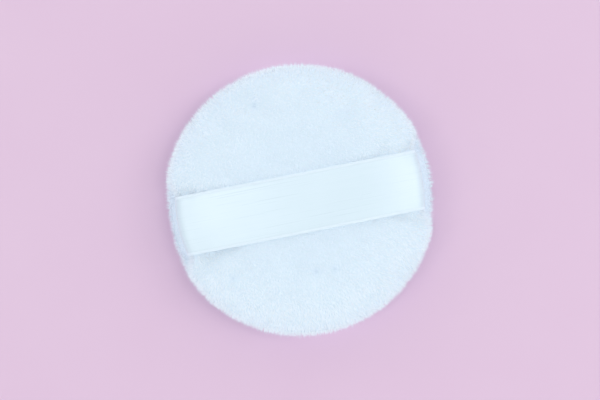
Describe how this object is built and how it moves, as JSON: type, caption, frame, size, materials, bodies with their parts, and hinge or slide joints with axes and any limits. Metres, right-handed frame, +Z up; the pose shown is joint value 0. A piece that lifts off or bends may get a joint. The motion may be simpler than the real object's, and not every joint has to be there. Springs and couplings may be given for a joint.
{
  "type": "powder puff",
  "caption": "Round velour powder puff: two pile covers sewn round a foam disc, with a satin ribbon across the grip side that lifts for the fingers.",
  "frame": {"origin": "middle of the flat patch of the powder side that the puff rests on", "axes": "+Z up through the puff, from the powder side to the grip side; +X along the ribbon band"},
  "size_m": [0.065, 0.065, 0.0143],
  "materials": {
    "velour": "short cut pile, matt",
    "foam": "open-cell polyurethane foam, matt",
    "satin": "woven satin, soft sheen",
    "thread": "spun polyester thread"
  },
  "bodies": {
    "puff": {"grip_cover": "velour", "powder_cover": "velour", "sponge_core": "foam", "ribbon_end_left": "satin", "ribbon_end_right": "satin", "needle_thread": "thread", "bobbin_thread": "thread", "closing_thread": "thread"},
    "band": {"ribbon_band": "satin"}
  },
  "joints": [
    {"name": "band_lift", "type": "slide", "parent": "puff", "child": "band", "axis": [0, 0, 1], "range_m": [0, 0.006], "deforming": ["ribbon_end_left", "ribbon_end_right"]}
  ]
}
